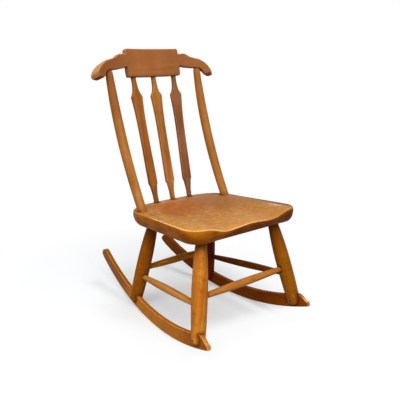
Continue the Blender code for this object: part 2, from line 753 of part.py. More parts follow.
for end, height in (("front", FRONT_STRETCHER_HEIGHT), ("rear", REAR_STRETCHER_HEIGHT)):
    add_stretcher("stretcher_" + end, (end, -1), height, (end, 1), height)
for word, side in (("left", -1), ("right", 1)):
    front = ("front", side)
    rear = ("rear", side)
    add_stretcher(
        "stretcher_" + word, front, SIDE_STRETCHER_FRONT_HEIGHT, rear, SIDE_STRETCHER_REAR_HEIGHT)
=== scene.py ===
# Arrow-back rocking chair in stained maple: finer wood, finish, floor, lamps and camera
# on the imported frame. Metres, +Z up, front towards -Y, left is -X and right is +X.
import json
import math

import bmesh
import bpy
import numpy as np
from mathutils import Matrix, Vector
from mathutils.bvhtree import BVHTree


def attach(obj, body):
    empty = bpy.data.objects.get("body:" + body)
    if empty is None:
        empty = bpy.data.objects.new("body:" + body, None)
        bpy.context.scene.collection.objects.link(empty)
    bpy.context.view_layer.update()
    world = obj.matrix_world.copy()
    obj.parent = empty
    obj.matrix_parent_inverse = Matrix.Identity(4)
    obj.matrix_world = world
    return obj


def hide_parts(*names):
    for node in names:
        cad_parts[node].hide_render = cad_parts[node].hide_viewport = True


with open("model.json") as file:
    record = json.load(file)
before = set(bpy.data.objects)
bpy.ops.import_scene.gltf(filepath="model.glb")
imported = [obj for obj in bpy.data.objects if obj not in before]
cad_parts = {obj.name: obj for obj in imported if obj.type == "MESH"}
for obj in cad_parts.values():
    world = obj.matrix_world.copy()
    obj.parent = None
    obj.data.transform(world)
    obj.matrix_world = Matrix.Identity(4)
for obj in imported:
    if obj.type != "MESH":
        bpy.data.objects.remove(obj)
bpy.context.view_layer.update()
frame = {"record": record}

# Sizes of the chair, as in its solids unless a comment says how they differ
FIT = 0.0003               # gap round the rockers in the legs' slots and round the pegs

SEAT_WIDTH = 0.462
SEAT_REAR_WIDTH = 0.430
SEAT_DEPTH = 0.424
SEAT_THICK = 0.047
SEAT_HEIGHT = 0.391        # floor to the flat rim, at the middle of the seat
SEAT_AHEAD = 0.0491        # middle of the seat ahead of the rockers' flats
SEAT_TILT = math.radians(4.95)
SEAT_CORNER = 0.058
SEAT_BACK_START = 0.056
SEAT_BACK_SQUARENESS = 3.3
SEAT_UNDERCUT = 0.012
SEAT_EASE = 0.005
SADDLE_DEPTH = 0.018
POMMEL_SHARE = 0.30
POMMEL_REACH = 0.45        # of the seat's depth, from the front
SADDLE_SIDES = (0.42, 0.80)
SADDLE_DECK = (0.58, 0.88)

CREST_WIDTH = 0.528
CREST_UNDER = 0.4157       # seat's rim, at its middle, to the underside of the tablet
CREST_BEHIND = 0.2743      # behind the rockers' flats
CREST_LEAN = math.radians(12.45)
CREST_CANT = math.radians(1.1)  # higher on the right than the solid
CREST_BOW = 0.037
CREST_THICK = 0.024
CREST_EASE = 0.004
TABLET_WIDTH = 0.224
TABLET_HEIGHT = 0.098
TABLET_CORNER = 0.005
SHOULDER_HEIGHT = 0.079
EAR_BEVEL = 0.024
EAR_RISE = 0.010
EAR_START = 0.55           # shares of an arm: where the bevel starts, and its growth
EAR_RUN = 0.40
ARM_GAP = 0.006            # share of an arm left to the tablet's upright end
# Top and underside of an arm from the tablet out, in shoulder heights: the ears end blunter
# and lower than the solid's
ARM_TOP = (
    (0.0, 1.0), (0.20, 1.0), (0.33, 0.86), (0.41, 0.81), (0.50, 0.76), (0.60, 0.71),
    (0.70, 0.615), (0.81, 0.505), (0.88, 0.415), (0.947, 0.30), (0.987, 0.185), (1.0, 0.13))
ARM_LOW = (
    (0.0, 0.45), (0.16, 0.385), (0.36, 0.33), (0.50, 0.305), (0.60, 0.25), (0.70, 0.12),
    (0.776, -0.03), (0.83, -0.095), (0.895, -0.13), (1.0, -0.08))

POST_FOOT_IN = 0.029
POST_FOOT_BACK = 0.1165
POST_HEAD_OUT = 0.192
POST_BOW = 0.019
POST_FOOT_RADIUS = 0.0153
POST_BELLY_RADIUS = 0.0168
POST_TOP_RADIUS = 0.0122
POST_HEAD_RADIUS = 0.0104
POST_TAPER = 0.005         # shorter than in the solids
POST_STRAIGHT = 0.0015
POST_TENON = 0.024
POST_FULLNESS = 0.8        # less holds the belly's width longer

ARROW_FOOT_OUT = 0.075
ARROW_FOOT_BACK = 0.1955
ARROW_FOOT_CURVE = 0.003
ARROW_HEAD_OUT = 0.0885
ARROW_TENON = 0.020
ARROW_THICK = 0.0130
ARROW_BLADE = 0.0330
ARROW_BARB = 0.0460
ARROW_NECK_RADIUS = 0.0090
ARROW_FOOT_RADIUS = 0.0092
ARROW_BULB_RADIUS = 0.0140
ARROW_NOTCH_AT = 0.141
ARROW_BARB_AT = 0.847      # a little lower than in the solids
ARROW_FLARE_FROM = 0.62    # of the way from the notch to the barbs
ARROW_FLARE_POWER = 2.2
ARROW_SQUARENESS = 9       # 2 is round and more is flatter

FRONT_LEG_IN = 0.075
FRONT_LEG_BACK = -0.1515
REAR_LEG_IN = 0.089
REAR_LEG_BACK = 0.1405
FRONT_FOOT_AT = -0.280     # along the rockers, ahead of their flats
REAR_FOOT_AT = 0.1320
FOOT_LIFT = 0.012          # higher than in the solids
FOOT_ROUND = 0.014         # height over which a foot rounds off
FOOT_WIDEST = 1.01         # shares of a foot's radius: at the widest, and lost at the end
FOOT_LOSS = 0.42
LEG_NECK_RADIUS = 0.0168
LEG_BELLY_RADIUS = 0.0252
LEG_FOOT_RADIUS = 0.0217
LEG_BELLY_AT = 0.46
LEG_TENON = 0.022
LEG_STRAIGHT = 0.010
LEG_FULLNESS = 2.2         # more holds the belly's width longer
PEG_RADIUS = 0.004
PEG_SHY = 0.0005
PEG_BLUNT = 0.0008
PEG_AT = 0.60              # of the rocker's depth, higher than in the solids

FRONT_STRETCHER_HEIGHT = 0.1905
REAR_STRETCHER_HEIGHT = 0.150
SIDE_STRETCHER_FRONT_HEIGHT = 0.1675
SIDE_STRETCHER_REAR_HEIGHT = 0.122
STRETCHER_END_RADIUS = 0.0088
STRETCHER_BELLY_RADIUS = 0.0127
STRETCHER_STOP = 0.006
STRETCHER_CLEAR = 0.003    # straight beyond the leg before the swelling starts
STRETCHER_FULLNESS = 0.9

ROCKER_RADIUS = 0.852
ROCKER_SPREAD = 0.1895
ROCKER_TOE_OUT = math.radians(6.2)
ROCKER_THICK = 0.014
ROCKER_DEPTH = 0.046
ROCKER_TAIL_DEPTH = 0.045  # deeper than in the solids
ROCKER_EASE = 0.0025
TOE_REACH = 0.339
TOE_SLOPE = 0.045
TOE_TIP = 0.016            # tip and hump are fuller than in the solids
TOE_FULLNESS = 2.1         # more holds the toe's hump longer
TAIL_REACH = 0.4190
TAIL_NOSE = 0.028          # the tail's top rounds down over this length
TAIL_SHY = 0.005           # how much shorter the nose is than the solid's round end
NOSE_TOP = 0.30            # of the tail's depth, where the top ends
NOSE_RISE = 0.18           # of the tail's depth, how far the sole comes up
NOSE_FULLNESS = 0.8

# The rockers' flats in the frame: a sole touches the floor in the middle of its mount
FLAT_AHEAD = -frame["record"]["mounts"][0]["pos_m"][1]

# Fineness of the finished pieces
ROUND_STEPS = 40
CORNER_STEPS = 5
SEAT_STEPS = 176
FACE_MARKS = (0.03, 0.12, 0.30, 0.50, 0.70, 0.88, 0.97)
EDGE_MARKS = (0.10, 0.50, 0.90)
CREASE = 40                # degrees up to which a piece is shaded smooth

# Sharpness of the worn arrises, which also carry a painted highlight, and reach of the dirt in the
# joints, which also carries painted shade
ARRIS_CURVES = (130, 330)  # one over the radius, from plain round wood to a worn arris
DIRT_REACH = 0.011


# Small helpers
def smooth(share):
    """Ease from 0 to 1 as the share runs from 0 to 1."""
    share = min(max(share, 0), 1)
    return share * share * (3 - 2 * share)


def along(points, place):
    """Height of a smooth line through the points, given in order of place."""
    last = len(points) - 1
    i = 0
    while i < last - 1 and place > points[i + 1][0]:
        i += 1
    (x0, y0), (x1, y1) = points[i], points[i + 1]

    def slope(k):
        a = points[max(k - 1, 0)]
        b = points[min(k + 1, last)]
        return (b[1] - a[1]) / (b[0] - a[0])

    span = x1 - x0
    t = min(max((place - x0) / span, 0), 1)
    rise = (2 * t ** 3 - 3 * t ** 2 + 1) * y0 + (3 * t ** 2 - 2 * t ** 3) * y1
    return rise + span * ((t ** 3 - 2 * t ** 2 + t) * slope(i) + (t ** 3 - t ** 2) * slope(i + 1))


def finer(rows, steps):
    """Rows of numbers filled in smoothly, so many steps from one to the next."""
    columns = [list(enumerate(column)) for column in zip(*rows)]
    count = (len(rows) - 1) * steps
    return [[along(column, k / steps) for column in columns] for k in range(count + 1)]


def frame_along(start, end, across=None):
    """Placement at start with its Z axis towards end and its X axis near across."""
    z = (end - start).normalized()
    if across is None:
        across = Vector((0, 1, 0)) if abs(z.x) > 0.8 else Vector((1, 0, 0))
    x = (across - across.dot(z) * z).normalized()
    y = z.cross(x)
    turn = Matrix((x, y, z)).transposed().to_4x4()
    return Matrix.Translation(start) @ turn


def show(name, data):
    """Object of a mesh, a lamp or a camera, put in the scene."""
    thing = bpy.data.objects.new(name, data)
    bpy.context.scene.collection.objects.link(thing)
    return thing


def soften(mesh, crease):
    """Shade a mesh smooth up to the crease angle, with its faces outward."""
    work = bmesh.new()
    work.from_mesh(mesh)
    bmesh.ops.recalc_face_normals(work, faces=work.faces)
    work.to_mesh(mesh)
    work.free()
    mesh.shade_smooth()
    mesh.set_sharp_from_angle(angle=math.radians(crease))


def skin(rings, place, crease=CREASE):
    """Closed piece over a row of rings of points, each end closed by a fan."""
    count = len(rings[0])
    points = [point for ring in rings for point in ring]
    faces = []
    for row in range(len(rings) - 1):
        low = row * count
        for i in range(count):
            j = (i + 1) % count
            faces.append((low + i, low + j, low + count + j, low + count + i))
    for row in (0, len(rings) - 1):
        hub = len(points)
        points.append(sum(rings[row], Vector()) / count)
        for i in range(count):
            faces.append((row * count + i, row * count + (i + 1) % count, hub))
    mesh = bpy.data.meshes.new("wood")
    mesh.from_pydata(points, [], faces)
    soften(mesh, crease)
    piece = show("wood", mesh)
    piece.matrix_world = place
    return piece


def around(start=0):
    """Cosines and sines of even steps round a circle, from a share of a step on."""
    angles = [2 * math.pi * (i + start) / ROUND_STEPS for i in range(ROUND_STEPS)]
    return [(math.cos(angle), math.sin(angle)) for angle in angles]


def turned(profile, start, end):
    """Round piece on the line from start to end, from a row of (height, radius)."""
    rings = []
    for height, radius in profile:
        rings.append([Vector((radius * x, radius * y, height)) for x, y in around()])
    return skin(rings, frame_along(start, end))


def take_out(piece, tool):
    """Cut one shape out of a piece and throw the shape away."""
    cutting = piece.modifiers.new("cut", "BOOLEAN")
    cutting.object = tool
    cutting.operation = "DIFFERENCE"
    cutting.solver = "EXACT"
    view = bpy.context.evaluated_depsgraph_get()
    mesh = bpy.data.meshes.new_from_object(piece.evaluated_get(view))
    piece.modifiers.clear()
    piece.data = mesh
    bpy.data.objects.remove(tool, do_unlink=True)
    soften(mesh, CREASE)


def eased_ring(low, top, half, ease):
    """Points (height, across) round a board's section with eased corners."""
    corners = (
        (top - ease, half - ease, 0), (top - ease, ease - half, 90),
        (low + ease, ease - half, 180), (low + ease, half - ease, 270))
    arcs = []
    for height, across, start in corners:
        arc = []
        for step in range(CORNER_STEPS):
            angle = math.radians(start + 90 * step / (CORNER_STEPS - 1))
            arc.append(Vector((height + ease * math.sin(angle), across + ease * math.cos(angle))))
        arcs.append(arc)
    ring = []
    for k, arc in enumerate(arcs):
        ring += arc
        marks = EDGE_MARKS if k % 2 == 0 else FACE_MARKS
        ring += [arc[-1].lerp(arcs[(k + 1) % 4][0], mark) for mark in marks]
    return ring


# Rockers: each board's own frame runs back along the board in X and up in Y
def rocker_depth(reach):
    """Depth of the board square to its sole, at a reach from the flat."""
    if reach > REAR_FOOT_AT:
        share = (reach - REAR_FOOT_AT) / (TAIL_REACH - REAR_FOOT_AT)
        return ROCKER_DEPTH + (ROCKER_TAIL_DEPTH - ROCKER_DEPTH) * share
    toe = (-reach - (TOE_REACH - TOE_SLOPE)) / TOE_SLOPE
    if toe > 0:
        hump = 0.5 + 0.5 * math.cos(math.pi * min(toe, 1) ** TOE_FULLNESS)
        return TOE_TIP + (ROCKER_DEPTH - TOE_TIP) * hump
    return ROCKER_DEPTH


def on_rocker(reach, depth):
    """Point of the board at a reach from the flat and a depth above its sole."""
    turn = math.asin(reach / ROCKER_RADIUS)
    radius = ROCKER_RADIUS - depth
    return radius * math.sin(turn), ROCKER_RADIUS - radius * math.cos(turn)


def rocker_place(side):
    """Placement of a board, with its flat at the origin and its toe turned out."""
    run = Vector((-side * math.sin(ROCKER_TOE_OUT), math.cos(ROCKER_TOE_OUT), 0))
    up = Vector((0, 0, 1))
    turn = Matrix((run, up, run.cross(up))).transposed().to_4x4()
    return Matrix.Translation((side * ROCKER_SPREAD, -FLAT_AHEAD, 0)) @ turn


def rocker_wood(side):
    """Sawn board from the toe's tip to the rounded tail."""
    tail = TAIL_REACH - TAIL_NOSE - TAIL_SHY
    toe_steps = 18
    run_steps = 80
    start = TOE_SLOPE - TOE_REACH
    reaches = [-TOE_REACH + TOE_SLOPE * k / toe_steps for k in range(toe_steps)]
    reaches += [start + (tail - start) * k / run_steps for k in range(run_steps + 1)]
    spans = [(reach, 0, rocker_depth(reach)) for reach in reaches]
    for degrees in range(8, 89, 8):
        turn = math.radians(degrees)
        fall = math.cos(turn) ** NOSE_FULLNESS
        low = ROCKER_TAIL_DEPTH * NOSE_RISE * (1 - fall)
        top = ROCKER_TAIL_DEPTH * (NOSE_TOP + (1 - NOSE_TOP) * fall)
        spans.append((tail + TAIL_NOSE * math.sin(turn), low, top))
    rings = []
    for reach, low, top in spans:
        ease = min(ROCKER_EASE, (top - low) * 0.3)
        section = eased_ring(low, top, ROCKER_THICK / 2, ease)
        rings.append([Vector((*on_rocker(reach, depth), across)) for depth, across in section])
    return skin(rings, rocker_place(side))


# Seat: its own frame has the flat rim at z = 0 and the middle of the plank at the origin
SEAT_MIDDLE = Vector((0, -FLAT_AHEAD - SEAT_AHEAD, SEAT_HEIGHT))
SEAT_PLACE = Matrix.Translation(SEAT_MIDDLE) @ Matrix.Rotation(-SEAT_TILT, 4, "X")


def seat_outline():
    """Seat's widest line in plan, in even steps from the middle of the front."""
    front = -SEAT_DEPTH / 2
    corner_steps = 24
    back_steps = 72
    half = [Vector((0, front))]
    for i in range(corner_steps + 1):
        turn = math.radians(90 * i / corner_steps)
        x = SEAT_WIDTH / 2 - SEAT_CORNER * (1 - math.sin(turn))
        half.append(Vector((x, front + SEAT_CORNER * (1 - math.cos(turn)))))
    power = 2 / SEAT_BACK_SQUARENESS
    for i in range(back_steps + 1):
        turn = math.radians(90 * i / back_steps)
        x = SEAT_REAR_WIDTH / 2 * max(math.cos(turn), 0) ** power
        y = SEAT_BACK_START + (SEAT_DEPTH / 2 - SEAT_BACK_START) * math.sin(turn) ** power
        half.append(Vector((x, y)))
    lengths = [0]
    for a, b in zip(half, half[1:]):
        lengths.append(lengths[-1] + (b - a).length)
    steps = SEAT_STEPS // 2
    even = []
    for k in range(steps + 1):
        reach = lengths[-1] * k / steps
        i = 0
        while i < len(half) - 2 and lengths[i + 1] < reach:
            i += 1
        share = (reach - lengths[i]) / (lengths[i + 1] - lengths[i])
        even.append(half[i].lerp(half[i + 1], share))
    even[0].x = 0
    even[-1].x = 0
    return even + [Vector((-p.x, p.y)) for p in reversed(even[1:-1])]


def saddle(x, y):
    """Depth of the saddle below the flat rim: two thigh hollows, a pommel and a rear deck."""
    out = abs(x) / (SEAT_WIDTH / 2)
    back = (y + SEAT_DEPTH / 2) / SEAT_DEPTH
    hollow, rim = SADDLE_SIDES
    side = 1 - smooth((out - hollow) / (rim - hollow))
    pommel = 1 - POMMEL_SHARE * (1 - smooth(out / hollow)) * (1 - smooth(back / POMMEL_REACH))
    front, rear = SADDLE_DECK
    deck = 1 - smooth((back - front) / (rear - front))
    return SADDLE_DEPTH * side * pommel * deck


def seat_wood():
    """Plank skinned from the underside round the edge to the middle of the top."""
    outline = seat_outline()
    count = len(outline)
    inward = []
    for i in range(count):
        run = outline[(i + 1) % count] - outline[i - 1]
        inward.append(Vector((-run.y, run.x)).normalized())
    # inset from the widest line, depth below the rim, share of the saddle taken
    edge = (
        (SEAT_UNDERCUT + 0.004, SEAT_THICK, 0),
        (SEAT_UNDERCUT, SEAT_THICK - 0.002, 0),
        (SEAT_UNDERCUT * 0.35, SEAT_THICK * 0.72, 0.25),
        (0, SEAT_THICK * 0.36, 0.70),
        (SEAT_EASE * 0.15, SEAT_EASE, 1),
        (SEAT_EASE * 0.50, SEAT_EASE * 0.35, 1),
        (SEAT_EASE * 1.3, 0, 1))

    def sunk(x, y, depth=0, share=1):
        return Vector((x, y, -depth - share * saddle(x, y)))

    rings = []
    for inset, depth, share in finer(edge, 4):
        rings.append([
            sunk(*(point + inset * way), depth, share) for point, way in zip(outline, inward)])
    rim = rings[-1]
    inner_rings = 30
    for k in range(1, inner_rings):
        scale = 1 - k / inner_rings
        rings.append([sunk(point.x * scale, point.y * scale) for point in rim])
    return skin(rings, SEAT_PLACE, crease=50)


# Crest rail: its own frame has the tablet's underside at z = 0 and leans back with the rail
CREST_MIDDLE = Vector((0, CREST_BEHIND - FLAT_AHEAD, SEAT_HEIGHT + CREST_UNDER))
CREST_TURN = Matrix.Rotation(-CREST_LEAN, 4, "X") @ Matrix.Rotation(-CREST_CANT, 4, "Y")
CREST_PLACE = Matrix.Translation(CREST_MIDDLE) @ CREST_TURN


def crest_middle(x):
    """Middle of the rail's thickness, bowed forward towards the ears."""
    return -CREST_BOW * (x / (CREST_WIDTH / 2)) ** 2


def arm_share(x):
    """0 beside the tablet, growing to 1 at the ear's end."""
    return (abs(x) - TABLET_WIDTH / 2) / (CREST_WIDTH / 2 - TABLET_WIDTH / 2)


def arm_height(line, x):
    """Height of an arm's top or underside."""
    return SHOULDER_HEIGHT * along(line, arm_share(x))


def crest_section(x, low, top):
    """Ring round the rail at x on its back, with the ear's front set in and up."""
    ear = smooth((arm_share(x) - EAR_START) / EAR_RUN)
    front_x = x - math.copysign(EAR_BEVEL, x) * ear
    back_y = crest_middle(x) + CREST_THICK / 2
    front_y = crest_middle(front_x) - CREST_THICK / 2
    half = (back_y - front_y) / 2
    ring = []
    for height, across in eased_ring(low, top, half, min(CREST_EASE, (top - low) * 0.4)):
        forward = 0.5 - across / (2 * half)
        y = back_y + (front_y - back_y) * forward
        ring.append(Vector((x + (front_x - x) * forward, y, height + EAR_RISE * ear * forward)))
    return ring


def crest_wood():
    """Sawn rail from the left ear to the right ear."""
    edge = TABLET_WIDTH / 2
    tablet_steps = 14
    corner_steps = 6
    arm_steps = 56
    half = []
    for k in range(tablet_steps):
        half.append(((edge - TABLET_CORNER) * k / tablet_steps, 0, TABLET_HEIGHT))
    for k in range(corner_steps + 1):
        angle = math.radians(90 * k / corner_steps)
        drop = TABLET_CORNER * (1 - math.cos(angle))
        half.append((edge - TABLET_CORNER * (1 - math.sin(angle)), drop, TABLET_HEIGHT - drop))
    reach = CREST_WIDTH / 2 - edge
    for k in range(arm_steps + 1):
        x = edge + reach * (ARM_GAP + (1 - ARM_GAP) * k / arm_steps)
        half.append((x, arm_height(ARM_LOW, x), arm_height(ARM_TOP, x)))
    right = [crest_section(x, low, top) for x, low, top in half]
    left = [crest_section(-x, low, top) for x, low, top in reversed(half[1:])]
    return skin(left + right, CREST_PLACE, crease=35)


# Back posts: bowed and tapered round rods
def post_wood(side):
    """Post from inside the seat to inside the crest rail."""
    foot_out = SEAT_REAR_WIDTH / 2 - POST_FOOT_IN
    foot = SEAT_PLACE @ Vector((side * foot_out, POST_FOOT_BACK, 0))
    head_x = side * POST_HEAD_OUT
    head = CREST_PLACE @ Vector((head_x, crest_middle(head_x), arm_height(ARM_LOW, head_x)))
    length = (head - foot).length
    steps = 56
    taper_steps = 6
    rows = []
    for i in range(steps + 1):
        t = (1 - POST_TAPER / length) * i / steps
        end_radius = POST_FOOT_RADIUS + (POST_TOP_RADIUS - POST_FOOT_RADIUS) * t
        swell = math.sin(math.pi * t) ** POST_FULLNESS
        rows.append((t, end_radius + (POST_BELLY_RADIUS - end_radius) * swell))
    last = rows[-1][1]
    for k in range(1, taper_steps + 1):
        t = 1 - (POST_TAPER + (POST_STRAIGHT - POST_TAPER) * k / taper_steps) / length
        rows.append((t, last + (POST_HEAD_RADIUS - last) * smooth(k / taper_steps)))
    rows.append((1, POST_HEAD_RADIUS))
    path = [(4 * POST_BOW * t * (1 - t), length * t, radius) for t, radius in rows]
    lean = 4 * POST_BOW / length
    path.insert(0, (-POST_TENON * lean, -POST_TENON, POST_FOOT_RADIUS))
    path.append((-POST_TENON * lean, length + POST_TENON, POST_HEAD_RADIUS))
    rings = []
    for i, (bow, height, radius) in enumerate(path):
        before = path[max(i - 1, 0)]
        after = path[min(i + 1, len(path) - 1)]
        slope = math.atan2(after[0] - before[0], after[1] - before[1])
        ring = []
        for across, back in around():
            deep = radius * back
            y = bow + deep * math.cos(slope)
            ring.append(Vector((radius * across, y, height - deep * math.sin(slope))))
        rings.append(ring)
    return skin(rings, frame_along(foot, head))


# Arrow spindles: round foot, shouldered flat shaft, flared barbs and a round neck
def arrow_wood(side):
    """Spindle from inside the seat to inside the crest rail."""
    foot_back = ARROW_FOOT_BACK - abs(side) * ARROW_FOOT_CURVE
    foot = SEAT_PLACE @ Vector((side * ARROW_FOOT_OUT, foot_back, 0))
    head_x = side * ARROW_HEAD_OUT
    head = CREST_PLACE @ Vector((head_x, crest_middle(head_x), 0))
    step = 0.001
    slope = (crest_middle(head_x + step) - crest_middle(head_x - step)) / (2 * step)
    length = (head - foot).length
    half_thick = ARROW_THICK / 2
    blade = ARROW_BLADE / 2
    barb = ARROW_BARB / 2
    round_foot = ARROW_FOOT_RADIUS
    bulb = ARROW_BULB_RADIUS
    notch = ARROW_NOTCH_AT
    flare = ARROW_BARB_AT - notch
    square = ARROW_SQUARENESS
    # place along the length, half width, half thickness, squareness
    shaft_rows = [
        (-ARROW_TENON / length, round_foot, round_foot, 2),
        (0.015, round_foot, round_foot, 2),
        (notch * 0.42, round_foot * 1.03, round_foot, 2),
        (notch * 0.62, round_foot + (bulb - round_foot) * 0.42, round_foot, 2),
        (notch * 0.84, bulb * 0.97, round_foot, 2.2),
        (notch * 0.95, bulb * 1.02, round_foot * 0.98, 2.4),
        (notch * 1.05, blade * 0.95, half_thick * 1.20, 5),
        (notch * 1.16, blade * 1.02, half_thick * 1.12, square),
        (notch + flare * 0.22, blade * 1.02, half_thick * 1.06, square),
        (notch + flare * 0.44, blade * 0.985, half_thick, square),
        (notch + flare * ARROW_FLARE_FROM, blade * 0.985, half_thick, square)]
    for share in (0.74, 0.83, 0.90, 0.955, 1.0):
        lift = ((share - ARROW_FLARE_FROM) / (1 - ARROW_FLARE_FROM)) ** ARROW_FLARE_POWER
        half_wide = blade + (barb - blade) * lift
        shaft_rows.append((notch + flare * share, half_wide, half_thick, square))
    top = 1 - ARROW_BARB_AT
    neck = ARROW_NECK_RADIUS
    neck_rows = [(ARROW_BARB_AT + top * 0.004, barb * 0.985, half_thick, square)]
    # share of the neck's length, share of the barbs' width left, roundness
    for share, width, roundness in (
            (0.12, 0.62, 0.1), (0.22, 0.33, 0.25), (0.34, 0.15, 0.5),
            (0.48, 0.06, 0.8), (0.66, 0.015, 0.95)):
        half_deep = half_thick + (neck - half_thick) * smooth(share)
        half_wide = neck + (barb - neck) * width
        rounded = square + (2 - square) * roundness
        neck_rows.append((ARROW_BARB_AT + top * share, half_wide, half_deep, rounded))
    neck_rows.append((0.98, neck, neck, 2))
    neck_rows.append((1 + ARROW_TENON / length, neck, neck, 2))
    rows = finer(shaft_rows, 5) + finer(neck_rows, 5)
    rings = []
    for place, half_wide, half_deep, square in rows:
        ring = []
        for x, y in around(0.5):
            across = math.copysign(abs(x) ** (2 / square), x)
            deep = math.copysign(abs(y) ** (2 / square), y)
            ring.append(Vector((half_wide * across, half_deep * deep, place * length)))
        rings.append(ring)
    return skin(rings, frame_along(foot, head, Vector((1, slope, 0))), crease=45)


# Legs: turned, slotted at the foot over the rockers and pegged
def leg_radius(share):
    """Radius of a leg at a share of its height between the foot and the seat."""
    if share < LEG_BELLY_AT:
        swell = math.sin(math.pi / 2 * share / LEG_BELLY_AT)
        return LEG_FOOT_RADIUS + (LEG_BELLY_RADIUS - LEG_FOOT_RADIUS) * swell
    rise = (share - LEG_BELLY_AT) / (1 - LEG_BELLY_AT)
    return LEG_NECK_RADIUS + (LEG_BELLY_RADIUS - LEG_NECK_RADIUS) * (1 - rise ** LEG_FULLNESS)


LEG_ENDS = {
    "front": (SEAT_WIDTH / 2 - FRONT_LEG_IN, FRONT_LEG_BACK, FRONT_FOOT_AT),
    "rear": (SEAT_REAR_WIDTH / 2 - REAR_LEG_IN, REAR_LEG_BACK, REAR_FOOT_AT)}


def leg_line(end, side):
    """Middle of a leg's foot and of its head under the seat."""
    out, back, foot_at = LEG_ENDS[end]
    head = SEAT_PLACE @ Vector((side * out, back, -SEAT_THICK))
    sole_x, sole_z = on_rocker(foot_at, 0)
    foot = rocker_place(side) @ Vector((sole_x, sole_z + FOOT_LIFT, 0))
    return foot, head


def peg_line(end, side):
    """Both ends of the peg across a leg's slot."""
    foot, head = leg_line(end, side)
    height = on_rocker(LEG_ENDS[end][2], 0)[1] + ROCKER_DEPTH * PEG_AT
    share = (height - foot.z) / (head.z - foot.z)
    across = rocker_place(side).to_3x3() @ Vector((0, 0, 1))
    half = leg_radius(share) - PEG_SHY
    centre = foot.lerp(head, share)
    return centre - half * across, centre + half * across


def leg_wood(end, side):
    """Leg from its rounded foot to inside the seat, slotted and bored for its peg."""
    foot, head = leg_line(end, side)
    length = (head - foot).length
    profile = []
    round_steps = 6
    for k in range(round_steps):
        share = k / round_steps
        radius = LEG_FOOT_RADIUS * (FOOT_WIDEST - FOOT_LOSS * (1 - share) ** 2)
        profile.append((FOOT_ROUND * share ** 1.5, radius))
    steps = 54
    shaft = length - LEG_STRAIGHT
    for k in range(steps + 1):
        height = FOOT_ROUND + (shaft - FOOT_ROUND) * k / steps
        profile.append((height, leg_radius(height / shaft)))
    profile.append((length + LEG_TENON, LEG_NECK_RADIUS))
    leg = turned(profile, foot, head)
    # slot over the rocker, open at the foot
    foot_at = LEG_ENDS[end][2]
    half = ROCKER_THICK / 2 + FIT
    rings = []
    slot_steps = 24
    for k in range(slot_steps + 1):
        reach = max(foot_at + 4 * LEG_BELLY_RADIUS * (k / slot_steps - 0.5), -TOE_REACH)
        top = on_rocker(reach + k * FIT / slot_steps, rocker_depth(reach) + FIT)
        low = on_rocker(reach, -2 * LEG_BELLY_RADIUS)
        corners = ((*low, -half), (*low, half), (*top, half), (*top, -half))
        rings.append([Vector(corner) for corner in corners])
    take_out(leg, skin(rings, rocker_place(side)))
    left, right = peg_line(end, side)
    spare = (right - left).normalized() * LEG_BELLY_RADIUS
    hole = [(0, PEG_RADIUS + FIT), ((right - left + 2 * spare).length, PEG_RADIUS + FIT)]
    take_out(leg, turned(hole, left - spare, right + spare))
    return leg


def peg_wood(end, side):
    """Peg with blunted ends, just shy of the leg's sides."""
    left, right = peg_line(end, side)
    length = (right - left).length
    tip = PEG_RADIUS - PEG_BLUNT
    profile = [
        (0, tip), (PEG_BLUNT, PEG_RADIUS), (length - PEG_BLUNT, PEG_RADIUS), (length, tip)]
    return turned(profile, left, right)


# Stretchers: cigar-shaped, socketed into the legs
def on_leg(end, side, height):
    """Point on a leg's middle line at a height above the floor."""
    foot, head = leg_line(end, side)
    return foot.lerp(head, (height - foot.z) / (head.z - foot.z))


def stretcher_wood(start, end):
    """Stretcher between two legs' middle lines, stopping short of them."""
    way = (end - start).normalized()
    tip = start + STRETCHER_STOP * way
    far = end - STRETCHER_STOP * way
    length = (far - tip).length
    clear = LEG_BELLY_RADIUS - STRETCHER_STOP + STRETCHER_CLEAR
    profile = [(0, STRETCHER_END_RADIUS)]
    steps = 44
    for k in range(steps + 1):
        share = k / steps
        swell = math.sin(math.pi * share) ** STRETCHER_FULLNESS
        radius = STRETCHER_END_RADIUS + (STRETCHER_BELLY_RADIUS - STRETCHER_END_RADIUS) * swell
        profile.append((clear + share * (length - 2 * clear), radius))
    profile.append((length, STRETCHER_END_RADIUS))
    return turned(profile, tip, far)


# Finishes
class Amount:
    """A shader socket that takes part in sums: each operator adds its Math node."""

    def __init__(self, finish, socket):
        self.finish = finish
        self.socket = socket

    def sum(self, kind, first, second):
        return self.finish.add("ShaderNodeMath", {"operation": kind}, {0: first, 1: second})

    def __add__(self, other):
        return self.sum("ADD", self, other)

    def __sub__(self, other):
        return self.sum("SUBTRACT", self, other)

    def __rsub__(self, other):
        return self.sum("SUBTRACT", other, self)

    def __mul__(self, other):
        return self.sum("MULTIPLY", self, other)

    def __pow__(self, other):
        return self.sum("POWER", self, other)

    __radd__ = __add__
    __rmul__ = __mul__


def stain(red, green, blue):
    """A colour as seen, 0 to 255, as the shader takes it."""
    return tuple((value / 255) ** 2.2 for value in (red, green, blue)) + (1,)


